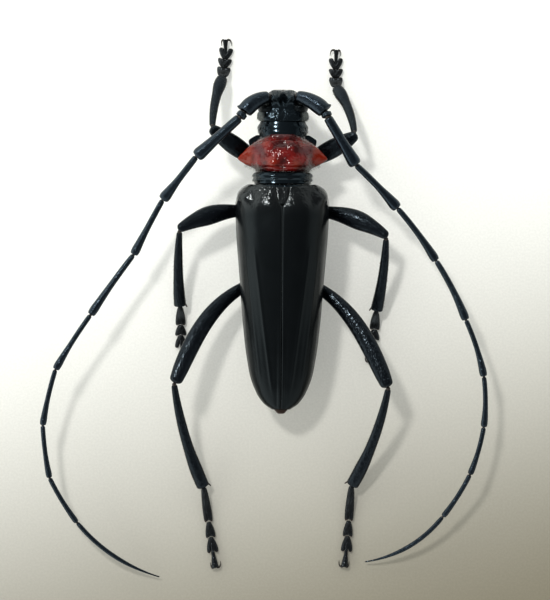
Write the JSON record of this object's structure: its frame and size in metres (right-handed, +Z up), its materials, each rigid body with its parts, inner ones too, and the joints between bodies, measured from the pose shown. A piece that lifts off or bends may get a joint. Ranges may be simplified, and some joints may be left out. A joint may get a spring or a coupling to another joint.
{
  "type": "red-necked longhorn beetle",
  "caption": "Life-size still longhorn beetle: glossy black body, red spined pronotum, spread legs and very long swept-back antennae.",
  "frame": {"origin": "middle of the beetle's box, at the level of the floor it stands on", "axes": "+Y along the body towards the head, +X to the beetle's right, +Z up"},
  "size_m": [0.0494, 0.0598, 0.0093],
  "materials": {
    "body_shell": "glossy, finely punctured",
    "wing_cases": "satin gloss, finely wrinkled",
    "red_shield": "glossy, with low wrinkles",
    "eyes": "finely faceted gloss",
    "mouthparts": "glossy",
    "feelers": "glossy, coarsely punctured at the root",
    "legs": "glossy, punctured"
  },
  "bodies": {
    "root": {"head": "body_shell", "front_collar": "body_shell", "rear_collar": "body_shell", "prosternum": "body_shell", "mesothorax": "body_shell", "metathorax": "body_shell", "abdomen": "body_shell", "tail_tip": "mouthparts", "scutellum": "body_shell", "wing_case_left": "wing_cases", "wing_case_right": "wing_cases", "pronotum": "red_shield", "eye_left": "eyes", "eye_right": "eyes", "upper_lip": "mouthparts", "lower_lip": "mouthparts", "jaw_left": "mouthparts", "jaw_right": "mouthparts", "palp_left": "mouthparts", "palp_right": "mouthparts", "feeler_left_scape": "feelers", "feeler_left_base": "feelers", "feeler_left_4_5": "feelers", "feeler_left_6_7": "feelers", "feeler_left_8_9": "feelers", "feeler_left_tip": "feelers", "feeler_right_scape": "feelers", "feeler_right_base": "feelers", "feeler_right_4_5": "feelers", "feeler_right_6_7": "feelers", "feeler_right_8_9": "feelers", "feeler_right_tip": "feelers", "leg_fore_left_coxa": "legs", "leg_fore_left_femur": "legs", "leg_fore_left_tibia": "legs", "leg_fore_left_foot": "legs", "leg_fore_right_coxa": "legs", "leg_fore_right_femur": "legs", "leg_fore_right_tibia": "legs", "leg_fore_right_foot": "legs", "leg_mid_left_coxa": "legs", "leg_mid_left_femur": "legs", "leg_mid_left_tibia": "legs", "leg_mid_left_foot": "legs", "leg_mid_right_coxa": "legs", "leg_mid_right_femur": "legs", "leg_mid_right_tibia": "legs", "leg_mid_right_foot": "legs", "leg_hind_left_coxa": "legs", "leg_hind_left_femur": "legs", "leg_hind_left_tibia": "legs", "leg_hind_left_foot": "legs", "leg_hind_right_coxa": "legs", "leg_hind_right_femur": "legs", "leg_hind_right_tibia": "legs", "leg_hind_right_foot": "legs"}
  },
  "joints": []
}
